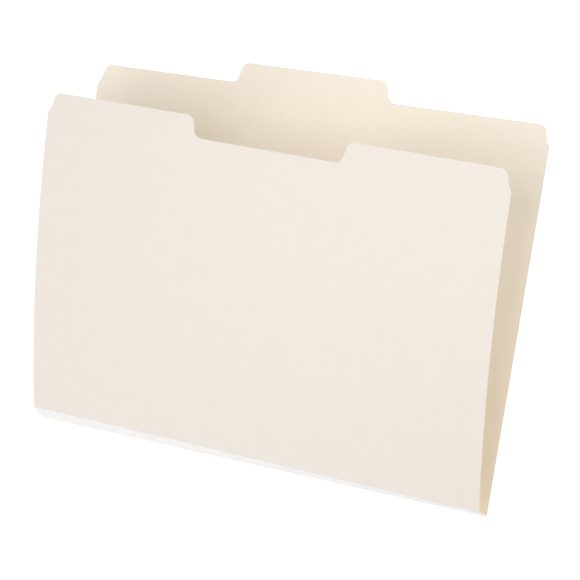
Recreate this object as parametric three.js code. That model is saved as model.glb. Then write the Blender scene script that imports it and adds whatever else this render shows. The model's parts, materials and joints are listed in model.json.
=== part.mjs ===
// File folder of one scored card sheet, with a tab on the back leaf and a matching notch in the front leaf.
// It rests open on its back leaf. X runs along the fold, +Y from the fold to the tab, +Z up.
import * as THREE from "three";

// Sheet, in millimetres
const sheetWidth = 296;
const sheetThickness = 0.28;
const backHeight = 228.6;
const frontHeight = 219.4;

// Gusset between the two leaves: the fold, two spare scores and the outer score, a quarter inch apart
const scorePitch = 6.35;
const gussetBands = 3;
const beadDepth = 0.1;
const beadHalfWidth = 0.7;
const creaseGap = 0.3;

// Tab, notch and corner cuts all step by one shoulder. The tab stands a little left of the middle
const shoulderHeight = 12.7;
const shoulderRound = 5;
const shoulderLean = THREE.MathUtils.degToRad(14);
const tabWidth = 96.6;
const tabShift = -2.8;
const cornerInset = 2.6;

// How the folder lies open: the slope of each panel at its left and at its right edge
const slopes = (left, right) => [THREE.MathUtils.degToRad(left), THREE.MathUtils.degToRad(right)];
const gussetRise = slopes(64.5, 76.8);
const frontRise = slopes(19.1, 25.4);
const frontTipRise = slopes(4.8, 2.7);
const bowLength = 190;

// Fineness of the facets
const arcSteps = 7;
const stationStep = 24;
const bowRows = 10;
const straightRows = 1;

const cardOutside = { color: 0xede4db, roughness: 0.82, metalness: 0 };
const cardInside = { color: 0xf2e9dc, roughness: 0.84, metalness: 0 };
const cardGusset = { color: 0xf6f3f2, roughness: 0.8, metalness: 0 };

const gussetWidth = scorePitch * gussetBands;
const halfWidth = sheetWidth / 2;
const steep = Math.PI / 2 - shoulderLean;

// Points of one shoulder, from its low level up to its high level, measured from its middle height
function shoulder() {
  const roundRise = shoulderRound * (1 - Math.cos(steep));
  const roundRun = shoulderRound * Math.sin(steep);
  const straight = (shoulderHeight - 2 * roundRise) / Math.sin(steep);
  const halfRun = roundRun + (straight / 2) * Math.cos(steep);
  const high = shoulderHeight - shoulderRound;
  const line = new THREE.Path();
  line.moveTo(-halfRun, 0);
  line.absarc(-halfRun, shoulderRound, shoulderRound, -Math.PI / 2, steep - Math.PI / 2, false);
  line.absarc(halfRun, high, shoulderRound, Math.PI / 2 + steep, Math.PI / 2, true);
  return line.getPoints(arcSteps);
}

// A shoulder placed on a leaf: it climbs to the right, or to the left where it is mirrored
function placedShoulder(middleX, lowLevel, mirrored) {
  const side = mirrored ? -1 : 1;
  const points = shoulder().map((p) => new THREE.Vector2(middleX + side * p.x, lowLevel + p.y));
  return mirrored ? points.reverse() : points;
}

// The corner cut is the same shoulder, cut short where it meets the side edge
function leftCorner(topLevel) {
  const points = placedShoulder(cornerInset - halfWidth, topLevel - shoulderHeight, false);
  const first = points.findIndex((p) => p.x > -halfWidth);
  const before = points[first - 1];
  const after = points[first];
  const share = (-halfWidth - before.x) / (after.x - before.x);
  return [before.clone().lerp(after, share), ...points.slice(first)];
}

function rightCorner(topLevel) {
  return leftCorner(topLevel)
    .map((p) => new THREE.Vector2(-p.x, p.y))
    .reverse();
}

// Points from the first to the last, with no straight stretch longer than one station step
function closeStations(corners) {
  const edge = [corners[0]];
  for (const point of corners.slice(1)) {
    const last = edge[edge.length - 1];
    const parts = Math.ceil((point.x - last.x) / stationStep);
    for (let i = 1; i <= parts; i++) edge.push(last.clone().lerp(point, i / parts));
  }
  return edge;
}

function tabEdge() {
  const left = placedShoulder(tabShift - tabWidth / 2, backHeight, false);
  const right = placedShoulder(tabShift + tabWidth / 2, backHeight, true);
  return closeStations([...leftCorner(backHeight), ...left, ...right, ...rightCorner(backHeight)]);
}

function notchEdge() {
  const floor = frontHeight - shoulderHeight;
  const left = placedShoulder(-tabWidth / 2, floor, true);
  const right = placedShoulder(tabWidth / 2, floor, false);
  return closeStations([...leftCorner(frontHeight), ...left, ...right, ...rightCorner(frontHeight)]);
}

function straightEdge(level) {
  return closeStations([new THREE.Vector2(-halfWidth, level), new THREE.Vector2(halfWidth, level)]);
}

// Closed solid of one panel of the sheet. The edge gives how far the panel reaches at each station,
// rows are its shares from start to edge, and place turns x, distance and level into a point.
// The level runs through the thickness, from the face underneath to the face on top.
function sheetPanel(edge, start, rows, place) {
  const positions = [];
  for (const { x, y } of edge) {
    for (const share of rows) {
      const distance = start + share * (y - start);
      for (const level of [0, sheetThickness]) positions.push(...place(x, distance, level));
    }
  }
  const index = [];
  const at = (station, row, face) => (station * rows.length + row) * 2 + face;
  const quad = (a, b, c, d) => index.push(a, b, c, a, c, d);
  const lastStation = edge.length - 1;
  const lastRow = rows.length - 1;
  for (let i = 0; i < lastStation; i++) {
    for (let j = 0; j < lastRow; j++) {
      quad(at(i, j, 0), at(i, j + 1, 0), at(i + 1, j + 1, 0), at(i + 1, j, 0));
      quad(at(i, j, 1), at(i + 1, j, 1), at(i + 1, j + 1, 1), at(i, j + 1, 1));
    }
    quad(at(i, 0, 0), at(i + 1, 0, 0), at(i + 1, 0, 1), at(i, 0, 1));
    quad(at(i, lastRow, 0), at(i, lastRow, 1), at(i + 1, lastRow, 1), at(i + 1, lastRow, 0));
  }
  for (let j = 0; j < lastRow; j++) {
    quad(at(0, j, 0), at(0, j, 1), at(0, j + 1, 1), at(0, j + 1, 0));
    quad(at(lastStation, j, 0), at(lastStation, j + 1, 0), at(lastStation, j + 1, 1), at(lastStation, j, 1));
  }
  const geometry = new THREE.BufferGeometry();
  geometry.setAttribute("position", new THREE.Float32BufferAttribute(positions, 3));
  geometry.setIndex(index);
  geometry.computeVertexNormals();
  return geometry;
}

const direction = (angle) => new THREE.Vector2(Math.cos(angle), Math.sin(angle));
const shareAcross = (x) => (x + halfWidth) / sheetWidth;
const slopeAt = ([left, right], x) => THREE.MathUtils.lerp(left, right, shareAcross(x));

// The back leaf lies flat, its outer face down
function placeBack(x, distance, level) {
  return [x, distance, level];
}

// The fold line lies on the inner face, where the card turns. The outer score is a straight line too,
// a little skew to the fold, because the gusset stands steeper at its right end
const fold = new THREE.Vector2(0, sheetThickness);
const scoreEnds = gussetRise.map((rise) => fold.clone().addScaledVector(direction(rise), gussetWidth));
const outerScore = (x) => scoreEnds[0].clone().lerp(scoreEnds[1], shareAcross(x));

// Each spare score is a shallow bead, pressed from the outer face towards the inside
function beadAt(distance) {
  const score = Math.round(distance / scorePitch);
  const spare = score > 0 && score < gussetBands;
  return spare && Math.abs(distance - score * scorePitch) < beadHalfWidth / 2 ? beadDepth : 0;
}

function placeGusset(x, distance, level) {
  const along = outerScore(x).sub(fold);
  const out = new THREE.Vector2(-along.y, along.x).normalize();
  const point = fold
    .clone()
    .addScaledVector(along, distance / gussetWidth)
    .addScaledVector(out, level - beadAt(distance));
  return [x, point.x, point.y];
}

// Shares of the gusset's own rows: both ends, and the middle and sides of each spare score
function gussetRows(start, end) {
  const distances = [start];
  for (let i = 1; i < gussetBands; i++) {
    const score = i * scorePitch;
    distances.push(score - beadHalfWidth, score, score + beadHalfWidth);
  }
  distances.push(end);
  return distances.map((d) => (d - start) / (end - start));
}

// The front leaf bows in an arc from the outer score, then runs straight to its top edge
function placeFront(x, distance, level) {
  const along = distance - gussetWidth;
  const bent = Math.min(along, bowLength);
  const rise = slopeAt(frontRise, x);
  const turned = ((slopeAt(frontTipRise, x) - rise) * bent) / bowLength;
  const chord = (2 * bent * Math.sin(turned / 2)) / turned;
  const point = outerScore(x)
    .addScaledVector(direction(rise + turned / 2), chord)
    .addScaledVector(direction(rise + turned), along - bent)
    .addScaledVector(direction(rise + turned + Math.PI / 2), level);
  return [x, point.x, point.y];
}

// Shares of the front leaf's own rows: close along the bow, few along the straight
function frontRows(start) {
  const bowShare = (gussetWidth + bowLength - start) / (frontHeight - start);
  const rows = [];
  for (let i = 0; i < bowRows; i++) rows.push((bowShare * i) / bowRows);
  for (let i = 0; i <= straightRows; i++) rows.push(bowShare + ((1 - bowShare) * i) / straightRows);
  return rows;
}

function named(name, geometry, finish) {
  const mesh = new THREE.Mesh(geometry, new THREE.MeshStandardMaterial(finish));
  mesh.name = name;
  return mesh;
}

// Three panels of the one sheet, each starting half a crease gap from its crease
const halfGap = creaseGap / 2;
const gussetEnd = gussetWidth - halfGap;
const frontStart = gussetWidth + halfGap;

const group = new THREE.Group();
group.add(
  named("back_leaf", sheetPanel(tabEdge(), halfGap, [0, 1], placeBack), cardInside),
  named(
    "gusset_strip",
    sheetPanel(straightEdge(gussetEnd), halfGap, gussetRows(halfGap, gussetEnd), placeGusset),
    cardGusset,
  ),
  named("front_leaf", sheetPanel(notchEdge(), frontStart, frontRows(frontStart), placeFront), cardOutside),
);

// The origin is at the middle of the folder's own box, on the surface that it lies on
const middle = new THREE.Box3().setFromObject(group).getCenter(new THREE.Vector3());
group.position.set(-middle.x, -middle.y, 0);

export default group;
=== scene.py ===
import json
import math

import bmesh
import bpy
from bpy.props import FloatProperty, FloatVectorProperty, PointerProperty
from mathutils import Euler, Matrix, Vector

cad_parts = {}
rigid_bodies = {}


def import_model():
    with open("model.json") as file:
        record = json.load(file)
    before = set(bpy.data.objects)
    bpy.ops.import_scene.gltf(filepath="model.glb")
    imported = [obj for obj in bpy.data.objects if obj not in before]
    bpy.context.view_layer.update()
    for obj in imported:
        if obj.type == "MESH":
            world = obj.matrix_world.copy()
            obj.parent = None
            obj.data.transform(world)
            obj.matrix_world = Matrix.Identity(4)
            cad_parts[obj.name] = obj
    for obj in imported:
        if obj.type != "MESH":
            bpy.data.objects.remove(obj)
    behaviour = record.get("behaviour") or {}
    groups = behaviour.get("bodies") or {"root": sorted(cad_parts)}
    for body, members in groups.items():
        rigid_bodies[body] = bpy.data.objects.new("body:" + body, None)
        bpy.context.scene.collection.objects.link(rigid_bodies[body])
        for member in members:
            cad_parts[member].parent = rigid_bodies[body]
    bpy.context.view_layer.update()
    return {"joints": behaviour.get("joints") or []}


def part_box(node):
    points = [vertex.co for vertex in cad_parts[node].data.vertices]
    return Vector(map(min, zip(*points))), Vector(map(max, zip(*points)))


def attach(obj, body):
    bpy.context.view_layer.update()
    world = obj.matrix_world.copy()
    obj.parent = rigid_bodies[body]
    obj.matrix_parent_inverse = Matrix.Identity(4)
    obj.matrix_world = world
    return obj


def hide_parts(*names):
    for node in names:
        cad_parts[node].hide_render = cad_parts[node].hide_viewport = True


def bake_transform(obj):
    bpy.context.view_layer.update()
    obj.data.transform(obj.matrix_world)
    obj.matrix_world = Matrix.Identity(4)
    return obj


bl_info = {
    "name": "Card File Folder",
    "version": (1, 0, 0),
    "blender": (4, 5, 0),
    "location": "3D View > Sidebar > File Folder",
    "description": "Scored card file folder with a tab, a notched front leaf and a narrow gusset",
    "category": "Add Mesh",
}

for old in list(bpy.data.objects):
    bpy.data.objects.remove(old)
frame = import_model()

MM = 0.001
RIGHT, UP_THE_CARD = Vector((1, 0, 0)), Vector((0, 1, 0))

# Creases, thickness and width of the sheet, from the frame
JOINTS = {joint["name"]: joint for joint in frame["joints"]}
FOLD = Vector(JOINTS["main_fold"]["pos_m"])
SCORE = Vector(JOINTS["outer_score"]["pos_m"])
SCORE_AXIS = Vector(JOINTS["outer_score"]["axis"])
THICKNESS = FOLD.z
SHEET_WIDTH = 2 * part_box("back_leaf")[1].x
GUSSET_BANDS = 3

# Fineness of the mesh: lines in a crease, in a cut round and in the bow, and the grid elsewhere
CREASE_STEPS = 9
ROUND_STEPS = 10
BOW_STEPS = 38
COLUMN_STEP = 5 * MM
ROW_STEP = 8 * MM

# Rim inside each cut edge, what the uncut sheet has to spare, and how far from a crease two pieces meet
RIM = 0.9 * MM
SPARE = 20 * MM
SEAM = 1.6 * MM
# Distance from a crease over which the painted shade along it fades out
PAINTED_SHADE_REACH = 0.9 * SEAM

# Half width of a pressed score as a share of the score pitch, and its rows as shares of that
BEAD_HALF = 0.11
BEAD_ROWS = (-1, -0.6, -0.3, 0, 0.3, 0.6, 1)

# Points this close are on one line, or touched by a cut, and a column's points agree to so many digits
CLOSE = 1e-7
TOUCHED = 1e-8
COLUMN_DIGITS = 7

# Edges that turn by more than this angle are sharp
SHARP = 0.8

# Kinds of face. A face of the card is one whose normal stands at least this steep, the rest is cut edge
OUTSIDE, INSIDE, CUT_EDGE, GUSSET_PAINTED_LIGHT = range(4)
STEEP = 0.5

# Tones as shares of the card's colour: deep and pale clouds, specks, and the pulp in the cut edge
DEEP_TONE = (0.988, 0.984, 0.977)
PALE_TONE = 1.006
SPECK_TONE = (0.95, 0.93, 0.90)
PULP_TONE = 0.9
# Strength of the painted shade along creases and cut edges
PAINTED_SHADE_STRENGTH = 0.6

# Where each lamp stands and how wide it is, in metres
LAMPS = {
    "right": ((1.606, 0.927, 0.749), 1.0),
    "front": ((0.0, -1.981, 0.278), 1.0),
    "left": ((-0.487, -0.487, 0.983), 0.6),
    "top": ((0.0, 0.0, 0.8), 0.5),
}

# Half side of the floor, its depth under the folder, its grey to the light, and its glow to the camera,
# which rises from its start to white between two distances from the folder's middle
FLOOR_HALF = 4
FLOOR_DEPTH = 0.1 * MM
FLOOR_GREY = 0.65
GLOW_START = 0.2
GLOW_NEAR, GLOW_FAR = 0.25, 1.0

SENSOR = 36
CLIP_NEAR, CLIP_FAR = 0.01, 50


class BlankSettings(bpy.types.PropertyGroup):
    """Sizes of the flat die-cut blank"""

    back_height: FloatProperty(
        name="Back leaf", description="Fold to the top edge beside the tab",
        default=228.6 * MM, min=0.1, unit="LENGTH",
    )
    front_height: FloatProperty(
        name="Front leaf", description="Fold to the top edge beside the notch, along the card",
        default=219.4 * MM, min=0.1, unit="LENGTH",
    )
    tab_width: FloatProperty(
        name="Tab width", description="Width of the tab and of the notch at half their height",
        default=96.6 * MM, min=0.03, unit="LENGTH",
    )
    tab_shift: FloatProperty(
        name="Tab shift", description="Middle of the sheet to the middle of the tab",
        default=-2.8 * MM, unit="LENGTH",
    )
    shoulder_height: FloatProperty(
        name="Shoulder height", description="Height of the tab, and depth of notch and corner cuts",
        default=12.7 * MM, min=0.002, unit="LENGTH",
    )
    shoulder_round: FloatProperty(
        name="Shoulder round", description="Radius where a cut edge turns over its top and at its foot",
        default=5 * MM, min=0.001, unit="LENGTH",
    )
    shoulder_lean: FloatProperty(
        name="Shoulder lean", description="Lean of the sides of tab, notch and corner cuts",
        default=math.radians(14), min=0.0, max=0.8, unit="ROTATION", subtype="ANGLE",
    )
    corner_inset: FloatProperty(
        name="Corner inset", description="Side edge to the middle of the corner cut",
        default=2.6 * MM, min=0.0, unit="LENGTH",
    )


class BendSettings(bpy.types.PropertyGroup):
    """How the blank is bent into the open folder"""

    score_pitch: FloatProperty(
        name="Score pitch", description="Distance between neighbouring scores",
        default=6.35 * MM, min=0.002, unit="LENGTH",
    )
    score_depth: FloatProperty(
        name="Score depth", description="How far a spare score is pressed in",
        default=0.1 * MM, min=0.0, unit="LENGTH",
    )
    crease_radius: FloatProperty(
        name="Crease radius", description="Inner radius of a folded crease",
        default=0.35 * MM, min=0.0001, unit="LENGTH",
    )
    front_left: FloatProperty(
        name="Front rise, left", description="Slope of the front leaf's left edge at the outer score",
        default=math.radians(19.1), unit="ROTATION", subtype="ANGLE",
    )
    front_right: FloatProperty(
        name="Front rise, right", description="Slope of the front leaf's right edge at the outer score",
        default=math.radians(25.4), unit="ROTATION", subtype="ANGLE",
    )
    tip_left: FloatProperty(
        name="Tip rise, left", description="Slope of the front leaf's left edge past its bow",
        default=math.radians(4.8), unit="ROTATION", subtype="ANGLE",
    )
    tip_right: FloatProperty(
        name="Tip rise, right", description="Slope of the front leaf's right edge past its bow",
        default=math.radians(2.7), unit="ROTATION", subtype="ANGLE",
    )
    bow_length: FloatProperty(
        name="Bow length", description="Length over which the front leaf bows",
        default=190 * MM, min=0.01, unit="LENGTH",
    )


class CardSettings(bpy.types.PropertyGroup):
    """Colours and finish of the card"""

    outside: FloatVectorProperty(
        name="Outside", description="Colour of the card's outer face",
        default=(0.829, 0.763, 0.698), size=3, min=0.0, max=1.0, subtype="COLOR",
    )
    inside: FloatVectorProperty(
        name="Inside", description="Colour of the card's inner face",
        default=(0.908, 0.834, 0.724), size=3, min=0.0, max=1.0, subtype="COLOR",
    )
    # Painted light: the gusset's outer face is the same card as the outside, drawn paler to stand in for
    # the bright light on it
    gusset: FloatVectorProperty(
        name="Gusset", description="Colour of the outer face of the gusset",
        default=(0.955, 0.932, 0.918), size=3, min=0.0, max=1.0, subtype="COLOR",
    )
    # Grey of the cut edge, partly painted shade, and the colour of the painted shade along the card's
    # rims and creases
    cut_edge_and_painted_shade: FloatVectorProperty(
        name="Cut edge", description="Colour of the card's cut edge and of its worn rims and creases",
        default=(0.80, 0.775, 0.75), size=3, min=0.0, max=1.0, subtype="COLOR",
    )
    # Painted shade: this colour darkens and warms the inside towards the fold, standing in for the shade
    # between the leaves
    painted_fold_shade: FloatVectorProperty(
        name="Shut away", description="What tones the inside near the fold, where no light fades it",
        default=(0.98, 0.95, 0.88), size=3, min=0.0, max=1.0, subtype="COLOR",
    )
    fibre_depth: FloatProperty(
        name="Fibre depth", description="Depth of the fibre relief",
        default=0.012 * MM, min=0.0, unit="LENGTH",
    )


class StudioSettings(bpy.types.PropertyGroup):
    """Floor, lights and camera"""

    sky: FloatProperty(name="Sky", description="Strength of the even light", default=0.34, min=0.0)
    right_power: FloatProperty(
        name="Right lamp", description="Power of the low lamp at the right, towards the tab",
        default=34.0, min=0.0, unit="POWER",
    )
    front_power: FloatProperty(
        name="Front lamp", description="Power of the low lamp in front of the fold",
        default=18.2, min=0.0, unit="POWER",
    )
    left_power: FloatProperty(
        name="Left lamp", description="Power of the high lamp at the left of the fold",
        default=2.3, min=0.0, unit="POWER",
    )
    top_power: FloatProperty(
        name="Top lamp", description="Power of the lamp straight above",
        default=1.89, min=0.0, unit="POWER",
    )
    lens: FloatProperty(
        name="Lens", description="Focal length on a 36 mm sensor",
        default=111.853, min=10.0, unit="CAMERA",
    )
    camera_place: FloatVectorProperty(
        name="Camera place", description="Where the camera stands",
        default=(0.409304, 0.040913, 1.013714), size=3, subtype="TRANSLATION", unit="LENGTH",
    )
    camera_turn: FloatVectorProperty(
        name="Camera turn", description="How the camera is turned",
        default=(0.0168438, 0.3829716, 0.1746997), size=3, subtype="EULER", unit="ROTATION",
    )


def across(left, right, x):
    """Value at one x of what changes evenly from the sheet's left edge to its right edge."""
    return left + (right - left) * (x / SHEET_WIDTH + 0.5)


def gusset_rise(x):
    """Slope of the gusset at one x. The outer score is a straight line, a little skew to the fold."""
    along = SCORE + SCORE_AXIS * (x / SCORE_AXIS.x) - FOLD
    return math.atan2(along.z, along.y)


def turns(bend, x):
    """Turns of the main fold, of the outer score and of the bow at one x, away from flat."""
    front = across(bend.front_left, bend.front_right, x)
    tip = across(bend.tip_left, bend.tip_right, x)
    return math.pi - gusset_rise(x), gusset_rise(x) - front, front - tip


def gusset_width(bend):
    return GUSSET_BANDS * bend.score_pitch


def crease_reach(turn, radius):
    """How far a rounded crease reaches to each side of its corner."""
    return radius * math.tan(turn / 2)


def bend_allowance(turn, radius):
    """How much shorter the blank is for a rounded crease than for a sharp one."""
    return 2 * crease_reach(turn, radius) - radius * turn


def flat_lengths(bend):
    """Flat place of the outer score, and how much shorter the blank is at the front leaf's top."""
    fold_turn, score_turn, _ = turns(bend, 0)
    at_fold = bend_allowance(fold_turn, bend.crease_radius)
    at_score = bend_allowance(score_turn, bend.crease_radius)
    return gusset_width(bend) - at_fold, at_fold + at_score


def crease_places(corner, turn, radius):
    """Flat places of the lines that round one crease."""
    length = radius * turn
    first = corner + crease_reach(turn, radius)
    return [first - (i + 0.5) * length / CREASE_STEPS for i in range(CREASE_STEPS)]


def fold_places(bend):
    return crease_places(0.0, turns(bend, 0)[0], bend.crease_radius)


def score_places(bend):
    return crease_places(-flat_lengths(bend)[0], turns(bend, 0)[1], bend.crease_radius)


def bow_places(bend):
    """Flat places of the lines that bow the front leaf."""
    start = flat_lengths(bend)[1] - gusset_width(bend)
    return [start - (i + 0.5) * bend.bow_length / BOW_STEPS for i in range(BOW_STEPS)]


def spare_scores(bend):
    """Flat places of the spare scores, between the fold and the outer score."""
    shift = gusset_width(bend) - flat_lengths(bend)[0]
    return [shift - i * bend.score_pitch for i in range(1, GUSSET_BANDS)]


def leaf_half(blank, top, step, shift, bottom):
    """Sharp corners of a leaf's left half, from its foot to the middle, and which of them get rounds."""
    half_run = blank.shoulder_height / 2 * math.tan(blank.shoulder_lean)
    side = SHEET_WIDTH / 2
    corner = blank.corner_inset - side
    edge = shift - blank.tab_width / 2
    low = top - blank.shoulder_height
    return [
        ((-side - SPARE, bottom), False),
        ((-side - SPARE, low), False),
        ((corner - half_run, low), True),
        ((corner + half_run, top), True),
        ((edge - half_run, top), True),
        ((edge + half_run, top + step), True),
    ]


def leaf_outline(blank, top, step, shift, bottom):
    """Corners of a whole leaf, whose tab or notch stands off the middle by a shift."""
    left = leaf_half(blank, top, step, shift, bottom)
    right = leaf_half(blank, top, step, -shift, bottom)
    return left + [((-x, y), rounded) for (x, y), rounded in reversed(right)]


def cut_blank(blank, outline, upward):
    """Flat sheet with the outline's rounds cut and a narrow rim along its edge."""
    bm = bmesh.new()
    painted_shade_mark = bm.verts.layers.float.new("edge_painted_shade")
    way = 1 if upward else -1
    made = [(bm.verts.new((x, way * y, 0)), rounded) for (x, y), rounded in outline]
    bm.faces.new([vert for vert, _ in made])
    corners = [vert for vert, rounded in made if rounded]
    reach = crease_reach(math.pi / 2 - blank.shoulder_lean, blank.shoulder_round)
    bmesh.ops.bevel(
        bm, geom=corners, offset=reach, offset_type="OFFSET", segments=ROUND_STEPS, profile=0.5,
        affect="VERTICES", material=-1,
    )
    trim(bm, RIGHT, SHEET_WIDTH / 2)
    trim(bm, -RIGHT, SHEET_WIDTH / 2)
    bmesh.ops.inset_region(bm, faces=bm.faces[:], thickness=RIM, use_boundary=True, use_even_offset=True)
    # Points on the cut edge get the painted shade of the rim, inner points none
    for vert in bm.verts:
        vert[painted_shade_mark] = 1.0 if vert.is_boundary else 0.0
    return bm


def cut_across(bm, way, place, clear):
    """Cuts the sheet at one place along way, and takes off what lies beyond it where clear is true."""
    bmesh.ops.bisect_plane(
        bm, geom=bm.verts[:] + bm.edges[:] + bm.faces[:], dist=TOUCHED,
        plane_co=way * place, plane_no=way, clear_outer=clear,
    )


def trim(bm, way, reach):
    """Cuts off what lies further than reach from the middle, towards way."""
    cut_across(bm, way, reach, True)


def score_rows(bm, places, way):
    """Cuts the sheet across at each place, without taking anything away."""
    for place in places:
        cut_across(bm, way, place, False)


def evenly(start, end, step):
    """Places between start and end, at even distances of one step at most."""
    count = max(1, math.ceil(abs(end - start) / step))
    return [start + (end - start) * i / count for i in range(1, count)]


def columns_and_rows(bm, rows):
    """Scores the flat sheet into rows and columns that are fine enough to bend."""
    score_rows(bm, rows, UP_THE_CARD)
    score_rows(bm, evenly(-SHEET_WIDTH / 2, SHEET_WIDTH / 2, COLUMN_STEP), RIGHT)


def thicken(bm, bend):
    """Gives the flat sheet its thickness, with its inner face on top, and tells its faces apart."""
    score = -flat_lengths(bend)[0]
    bmesh.ops.recalc_face_normals(bm, faces=bm.faces[:])
    grown = bmesh.ops.extrude_face_region(bm, geom=bm.faces[:], use_keep_orig=True)
    upper = [part for part in grown["geom"] if isinstance(part, bmesh.types.BMVert)]
    bmesh.ops.translate(bm, verts=upper, vec=(0, 0, THICKNESS))
    bmesh.ops.recalc_face_normals(bm, faces=bm.faces[:])
    for face in bm.faces:
        face.smooth = True
        if face.normal.z > STEEP:
            face.material_index = INSIDE
        elif face.normal.z < -STEEP:
            # The gusset's outer face gets its own paler colour, which is painted light
            face.material_index = GUSSET_PAINTED_LIGHT if score < face.calc_center_median().y < 0 else OUTSIDE
        else:
            face.material_index = CUT_EDGE
    for edge in bm.edges:
        edge.smooth = edge.calc_face_angle(0.0) < SHARP


def bead_half(bend):
    """Half width of a spare score's pressed bead."""
    return BEAD_HALF * bend.score_pitch


def bead_rows(bend):
    """Flat places of the rows that each spare score needs."""
    return [score + bead_half(bend) * share for score in spare_scores(bend) for share in BEAD_ROWS]


def press_scores(bm, bend):
    """Presses each spare score from the outer face towards the inside."""
    half = bead_half(bend)
    for score in spare_scores(bend):
        for vert in bm.verts:
            off = abs(vert.co.y - score) / half
            if off < 1:
                vert.co.z += bend.score_depth * (0.5 + 0.5 * math.cos(math.pi * off))


def mark_creases(bm, bend):
    """Writes how close each point is to a crease, for the painted shade there, while the sheet is still
    flat.
    """
    painted_shade = bm.verts.layers.float.new("crease_painted_shade")
    corners = [0.0, -flat_lengths(bend)[0]]
    for vert in bm.verts:
        near = min(abs(vert.co.y - corner) for corner in corners)
        vert[painted_shade] = max(0.0, 1 - near / PAINTED_SHADE_REACH)


def fold(bm, bend):
    """Bends the flat sheet into the open folder, one column of points after another."""
    places = [fold_places(bend), score_places(bend), bow_places(bend)]
    columns = {}
    for vert in bm.verts:
        columns.setdefault(round(vert.co.x, COLUMN_DIGITS), []).append(vert)
    for x, column in columns.items():
        lines = []
        for part, turn in zip(places, turns(bend, x)):
            lines += [(place, turn / len(part)) for place in part]
        bend_column(column, lines)


def bend_column(column, lines):
    """Bends a column of points about its lines, from the back leaf on. Points on a line turn half."""
    bent = Matrix.Translation((0, FOLD.y, 0))
    waiting = sorted(column, key=lambda vert: vert.co.y)
    for place, turn in lines:
        while waiting and waiting[-1].co.y > place + CLOSE:
            vert = waiting.pop()
            vert.co = bent @ vert.co
        centre = Matrix.Translation((0, place, THICKNESS))
        half = centre @ Matrix.Rotation(-turn / 2, 4, "X") @ centre.inverted()
        while waiting and waiting[-1].co.y > place - CLOSE:
            vert = waiting.pop()
            vert.co = bent @ half @ vert.co
        bent = bent @ half @ half
    for vert in waiting:
        vert.co = bent @ vert.co


def crease_blend(piece, axis, before, after):
    """Works out the direction along the crease between two bodies, which is not used, and bakes the
    piece's placement into its mesh.
    """
    along = (before + after) / 2
    along = (along - axis * along.dot(axis)).normalized()
    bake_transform(piece)


def put_in_order(parts):
    """Sorts edges or faces by their middles. An extrusion makes them in another order each run."""
    middles = {part: sum((vert.co for vert in part.verts), Vector()) / len(part.verts) for part in parts}
    ranks = {part: rank for rank, part in enumerate(sorted(parts, key=lambda part: middles[part][:]))}
    parts.sort(key=ranks.get)


def finished(bm, name, materials):
    """Object of a finished bmesh, at the origin, with its materials."""
    put_in_order(bm.edges)
    put_in_order(bm.faces)
    mesh = bpy.data.meshes.new(name)
    bm.to_mesh(mesh)
    bm.free()
    for material in materials:
        mesh.materials.append(material)
    piece = bpy.data.objects.new(name, mesh)
    bpy.context.scene.collection.objects.link(piece)
    return piece


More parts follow.
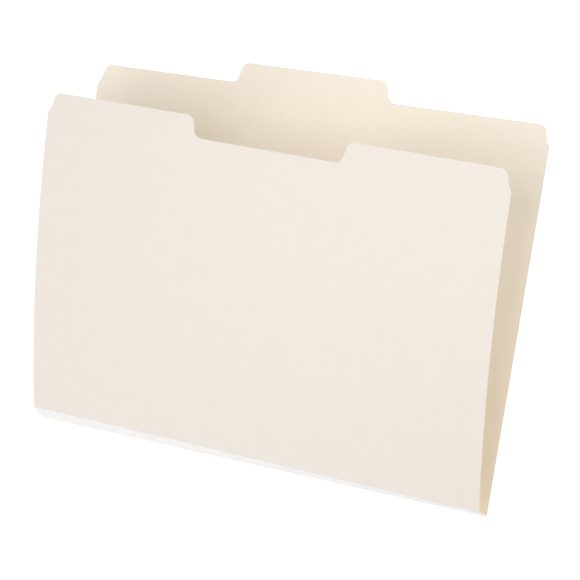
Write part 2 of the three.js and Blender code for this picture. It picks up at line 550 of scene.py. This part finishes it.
def card_material(name, colour, settings, painted_fold_shade=None):
    """Manila card: faint clouds and fibres, sparse specks, painted shade along creases and edges, fibre
    relief.

    Where a fold shade colour is given, it paints shade on the card: darker and warmer towards the fold.
    """
    material = bpy.data.materials.new(name)
    material.use_nodes = True
    nodes, links = material.node_tree.nodes, material.node_tree.links
    shader = nodes["Principled BSDF"]
    shader.inputs["Specular IOR Level"].default_value = 0.25
    where = nodes.new("ShaderNodeTexCoord").outputs["Object"]

    def pattern(scale, detail, stretch=(1, 1, 1)):
        """Noise on the card's own coordinates, drawn out along x where its first stretch is small."""
        mapping = nodes.new("ShaderNodeMapping")
        mapping.inputs["Scale"].default_value = stretch
        links.new(where, mapping.inputs["Vector"])
        grain = nodes.new("ShaderNodeTexNoise")
        grain.inputs["Scale"].default_value = scale
        grain.inputs["Detail"].default_value = detail
        links.new(mapping.outputs["Vector"], grain.inputs["Vector"])
        return grain.outputs["Fac"]

    def spread(value, low, high, start=0.0, end=1.0):
        """Runs from low to high while the value runs from start to end."""
        ranged = nodes.new("ShaderNodeMapRange")
        for socket, number in zip(("From Min", "From Max", "To Min", "To Max"), (start, end, low, high)):
            ranged.inputs[socket].default_value = number
        links.new(value, ranged.inputs["Value"])
        return ranged.outputs["Result"]

    def mix(amount, first, second, blend="MIX"):
        """Blends two colours, each of which is a socket or three numbers."""
        blended = nodes.new("ShaderNodeMix")
        blended.data_type = "RGBA"
        blended.blend_type = blend
        links.new(amount, blended.inputs["Factor"])
        for socket, value in ((blended.inputs[6], first), (blended.inputs[7], second)):
            if isinstance(value, bpy.types.NodeSocket):
                links.new(value, socket)
            else:
                socket.default_value = (*value, 1.0)
        return blended.outputs[2]

    def painted_shade_along(attribute, strength):
        """How much painted shade the card gets where the mesh's attribute marks a crease or an edge."""
        painted_shade_mark = nodes.new("ShaderNodeAttribute")
        painted_shade_mark.attribute_name = attribute
        return spread(painted_shade_mark.outputs["Fac"], 0.0, strength)

    deep = [part * share for part, share in zip(colour, DEEP_TONE)]
    pale = [min(1.0, part * PALE_TONE) for part in colour]
    clouds = pattern(scale=110, detail=5)
    fibres = pattern(scale=620, detail=6, stretch=(0.35, 1.0, 1.0))
    specks = pattern(scale=430, detail=2, stretch=(0.5, 1.0, 1.0))
    tone = mix(spread(clouds, 0.0, 1.0, start=0.32, end=0.68), deep, pale)
    tone = mix(spread(fibres, 0.0, 0.5, start=0.42, end=0.66), tone, deep)
    tone = mix(spread(specks, 0.0, 1.0, start=0.75, end=0.83), tone, SPECK_TONE, "MULTIPLY")
    if painted_fold_shade:
        # Painted shade: the inside gets darker and warmer towards the fold, fading out towards the top
        # of the back leaf
        apart = nodes.new("ShaderNodeSeparateXYZ")
        links.new(where, apart.inputs["Vector"])
        away = spread(apart.outputs["Y"], 1.0, 0.0, start=FOLD.y, end=-0.8 * FOLD.y)
        tone = mix(away, tone, painted_fold_shade, "MULTIPLY")
    # Painted shade: greys the card along its creases and along the rims of its cut edges
    for attribute in ("crease_painted_shade", "edge_painted_shade"):
        tone = mix(painted_shade_along(attribute, PAINTED_SHADE_STRENGTH), tone, settings.cut_edge_and_painted_shade)
    links.new(tone, shader.inputs["Base Color"])
    links.new(spread(fibres, 0.74, 0.92, start=0.3, end=0.7), shader.inputs["Roughness"])
    bump = nodes.new("ShaderNodeBump")
    bump.inputs["Strength"].default_value = 0.5
    bump.inputs["Distance"].default_value = settings.fibre_depth
    links.new(fibres, bump.inputs["Height"])
    links.new(bump.outputs["Normal"], shader.inputs["Normal"])
    return material


def cut_edge_material(name, colour, settings):
    """Cut edge of the card, with the layers of its pulp along it."""
    material = bpy.data.materials.new(name)
    material.use_nodes = True
    nodes, links = material.node_tree.nodes, material.node_tree.links
    shader = nodes["Principled BSDF"]
    shader.inputs["Specular IOR Level"].default_value = 0.2
    shader.inputs["Roughness"].default_value = 0.92
    where = nodes.new("ShaderNodeTexCoord").outputs["Object"]
    grain = nodes.new("ShaderNodeTexNoise")
    grain.inputs["Scale"].default_value = 1500
    grain.inputs["Detail"].default_value = 4
    links.new(where, grain.inputs["Vector"])
    ramp = nodes.new("ShaderNodeValToRGB")
    ramp.color_ramp.elements[0].position = 0.3
    ramp.color_ramp.elements[0].color = (*[part * PULP_TONE for part in colour], 1.0)
    ramp.color_ramp.elements[1].position = 0.7
    ramp.color_ramp.elements[1].color = (*colour, 1.0)
    links.new(grain.outputs["Fac"], ramp.inputs["Fac"])
    links.new(ramp.outputs["Color"], shader.inputs["Base Color"])
    bump = nodes.new("ShaderNodeBump")
    bump.inputs["Distance"].default_value = settings.fibre_depth
    links.new(grain.outputs["Fac"], bump.inputs["Height"])
    links.new(bump.outputs["Normal"], shader.inputs["Normal"])
    return material


def card_materials(settings):
    """The sheet's finishes, in the order of its kinds of face. They are made once and shared."""
    kinds = ("manila_outside", "manila_inside", "manila_cut_edge", "manila_gusset_painted_light")
    if kinds[0] not in bpy.data.materials:
        card_material(kinds[OUTSIDE], settings.outside, settings)
        # The inside gets the painted shade towards the fold
        card_material(kinds[INSIDE], settings.inside, settings, settings.painted_fold_shade)
        # The cut edge's grey is partly painted shade
        cut_edge_material(kinds[CUT_EDGE], settings.cut_edge_and_painted_shade, settings)
        # The gusset's paler card is painted light
        card_material(kinds[GUSSET_PAINTED_LIGHT], settings.gusset, settings)
    return [bpy.data.materials[kind] for kind in kinds]


def settings_of(context):
    """Settings of the blank, of its bends and of the card."""
    scene = context.scene
    return scene.folder_blank, scene.folder_bend, scene.folder_card


class FOLDER_OT_back_leaf(bpy.types.Operator):
    """Make the back leaf with its tab and the main fold"""

    bl_idname = "folder.back_leaf"
    bl_label = "Back Leaf"

    def execute(self, context):
        blank, bend, card = settings_of(context)
        outline = leaf_outline(blank, blank.back_height, blank.shoulder_height, blank.tab_shift, -SPARE)
        bm = cut_blank(blank, outline, True)
        trim(bm, -UP_THE_CARD, SEAM)
        top = blank.back_height + blank.shoulder_height
        columns_and_rows(bm, [*fold_places(bend), SEAM, *evenly(SEAM, top, ROW_STEP)])
        thicken(bm, bend)
        mark_creases(bm, bend)
        fold(bm, bend)
        piece = finished(bm, "back_leaf_card", card_materials(card))
        towards_score = (SCORE - FOLD).normalized()
        crease_blend(piece, RIGHT, -UP_THE_CARD, towards_score)
        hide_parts("back_leaf")
        return {"FINISHED"}


class FOLDER_OT_gusset_strip(bpy.types.Operator):
    """Make the gusset with its spare scores"""

    bl_idname = "folder.gusset_strip"
    bl_label = "Gusset Strip"

    def execute(self, context):
        blank, bend, card = settings_of(context)
        end = flat_lengths(bend)[0]
        side = SHEET_WIDTH / 2 + SPARE
        corners = [(-side, -SPARE), (-side, end + SPARE), (side, end + SPARE), (side, -SPARE)]
        bm = cut_blank(blank, [(corner, False) for corner in corners], False)
        trim(bm, UP_THE_CARD, -SEAM)
        trim(bm, -UP_THE_CARD, end - SEAM)
        columns_and_rows(bm, bead_rows(bend))
        thicken(bm, bend)
        mark_creases(bm, bend)
        press_scores(bm, bend)
        fold(bm, bend)
        piece = finished(bm, "gusset_strip_card", card_materials(card))
        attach(piece, "gusset")
        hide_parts("gusset_strip")
        return {"FINISHED"}


class FOLDER_OT_front_leaf(bpy.types.Operator):
    """Make the bowed front leaf with its notch and the outer score"""

    bl_idname = "folder.front_leaf"
    bl_label = "Front Leaf"

    def execute(self, context):
        blank, bend, card = settings_of(context)
        score, shorter = flat_lengths(bend)
        top = blank.front_height - shorter
        outline = leaf_outline(blank, top, -blank.shoulder_height, 0.0, score - SPARE)
        bm = cut_blank(blank, outline, False)
        trim(bm, UP_THE_CARD, SEAM - score)
        bow_end = gusset_width(bend) - shorter + bend.bow_length
        rows = [*score_places(bend), -score - SEAM, *bow_places(bend)]
        rows += [-place for place in evenly(bow_end, top, ROW_STEP)]
        columns_and_rows(bm, rows)
        thicken(bm, bend)
        mark_creases(bm, bend)
        fold(bm, bend)
        piece = finished(bm, "front_leaf_card", card_materials(card))
        rise = across(bend.front_left, bend.front_right, 0)
        from_fold = (SCORE - FOLD).normalized()
        up_front = Vector((0, math.cos(rise), math.sin(rise)))
        crease_blend(piece, SCORE_AXIS, from_fold, up_front)
        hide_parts("front_leaf")
        return {"FINISHED"}


def area_lamp(name, place, width, power):
    """Soft square lamp that faces the folder's middle and doesn't show in the picture."""
    data = bpy.data.lights.new(name, "AREA")
    data.shape = "SQUARE"
    data.size = width
    data.energy = power
    lamp = bpy.data.objects.new(name, data)
    lamp.visible_camera = False
    lamp.location = place
    lamp.rotation_euler = Vector(place).to_track_quat("Z", "Y").to_euler()
    bpy.context.scene.collection.objects.link(lamp)


def floor_material():
    """White to the camera, with the folder's shadow on it, and a soft grey to everything else."""
    material = bpy.data.materials.new("floor_white")
    material.use_nodes = True
    nodes, links = material.node_tree.nodes, material.node_tree.links
    nodes.clear()
    rays = nodes.new("ShaderNodeLightPath").outputs["Is Camera Ray"]
    tint = nodes.new("ShaderNodeMix")
    tint.data_type = "RGBA"
    tint.inputs[6].default_value = (FLOOR_GREY, FLOOR_GREY, FLOOR_GREY, 1)
    tint.inputs[7].default_value = (1, 1, 1, 1)
    far = nodes.new("ShaderNodeVectorMath")
    far.operation = "LENGTH"
    rising = nodes.new("ShaderNodeMapRange")
    for socket, number in (("From Min", GLOW_NEAR), ("From Max", GLOW_FAR), ("To Min", GLOW_START)):
        rising.inputs[socket].default_value = number
    scale = nodes.new("ShaderNodeMath")
    scale.operation = "MULTIPLY"
    matt = nodes.new("ShaderNodeBsdfDiffuse")
    glow = nodes.new("ShaderNodeEmission")
    both = nodes.new("ShaderNodeAddShader")
    out = nodes.new("ShaderNodeOutputMaterial")
    links.new(nodes.new("ShaderNodeTexCoord").outputs["Object"], far.inputs[0])
    links.new(far.outputs["Value"], rising.inputs["Value"])
    links.new(rays, tint.inputs["Factor"])
    links.new(rays, scale.inputs[0])
    links.new(rising.outputs["Result"], scale.inputs[1])
    links.new(tint.outputs[2], matt.inputs["Color"])
    links.new(scale.outputs[0], glow.inputs["Strength"])
    links.new(matt.outputs[0], both.inputs[0])
    links.new(glow.outputs[0], both.inputs[1])
    links.new(both.outputs[0], out.inputs["Surface"])
    return material


def studio_world(strength):
    """Even white light, which the camera sees as plain white."""
    world = bpy.data.worlds.new("studio_light")
    world.use_nodes = True
    nodes, links = world.node_tree.nodes, world.node_tree.links
    sky = nodes["Background"]
    sky.inputs["Color"].default_value = (1, 1, 1, 1)
    seen = nodes.new("ShaderNodeMapRange")
    seen.inputs["To Min"].default_value = strength
    seen.inputs["To Max"].default_value = 1.0
    links.new(nodes.new("ShaderNodeLightPath").outputs["Is Camera Ray"], seen.inputs["Value"])
    links.new(seen.outputs["Result"], sky.inputs["Strength"])
    return world


class FOLDER_OT_studio(bpy.types.Operator):
    """Make the floor, the lamps and the camera"""

    bl_idname = "folder.studio"
    bl_label = "Studio"

    def execute(self, context):
        studio = context.scene.folder_studio
        bm = bmesh.new()
        bmesh.ops.create_grid(bm, x_segments=8, y_segments=8, size=FLOOR_HALF)
        bmesh.ops.translate(bm, verts=bm.verts[:], vec=(0, 0, -FLOOR_DEPTH))
        floor = finished(bm, "floor", [floor_material()])
        powers = (studio.right_power, studio.front_power, studio.left_power, studio.top_power)
        for (name, (place, width)), power in zip(LAMPS.items(), powers):
            area_lamp(f"{name}_lamp", place, width, power)
        context.scene.world = studio_world(studio.sky)
        data = bpy.data.cameras.new("camera")
        data.sensor_width = SENSOR
        data.lens = studio.lens
        data.clip_start, data.clip_end = CLIP_NEAR, CLIP_FAR
        camera = bpy.data.objects.new("camera", data)
        camera.location = studio.camera_place
        camera.rotation_euler = Euler(studio.camera_turn, "XYZ")
        context.scene.collection.objects.link(camera)
        context.scene.camera = camera
        context.scene.view_settings.view_transform = "Standard"
        return {"FINISHED"}


class FOLDER_PT_panel(bpy.types.Panel):
    """File folder tools"""

    bl_idname = "FOLDER_PT_panel"
    bl_label = "File Folder"
    bl_space_type = "VIEW_3D"
    bl_region_type = "UI"
    bl_category = "File Folder"

    def draw(self, context):
        for step in STEPS:
            self.layout.operator(step.bl_idname)
        for name in SETTINGS:
            group = getattr(context.scene, name)
            box = self.layout.box()
            for setting in group.bl_rna.properties.keys():
                if setting not in {"rna_type", "name"}:
                    box.prop(group, setting)


STEPS = (FOLDER_OT_back_leaf, FOLDER_OT_gusset_strip, FOLDER_OT_front_leaf, FOLDER_OT_studio)
SETTINGS = {
    "folder_blank": BlankSettings,
    "folder_bend": BendSettings,
    "folder_card": CardSettings,
    "folder_studio": StudioSettings,
}


def register():
    for each in (*SETTINGS.values(), *STEPS, FOLDER_PT_panel):
        bpy.utils.register_class(each)
    for name, group in SETTINGS.items():
        setattr(bpy.types.Scene, name, PointerProperty(type=group))


def unregister():
    for name in SETTINGS:
        delattr(bpy.types.Scene, name)
    for each in reversed((*SETTINGS.values(), *STEPS, FOLDER_PT_panel)):
        bpy.utils.unregister_class(each)


def main():
    register()
    bpy.ops.folder.back_leaf()
    bpy.ops.folder.gusset_strip()
    bpy.ops.folder.front_leaf()
    bpy.ops.folder.studio()


if __name__ == "__main__":
    main()
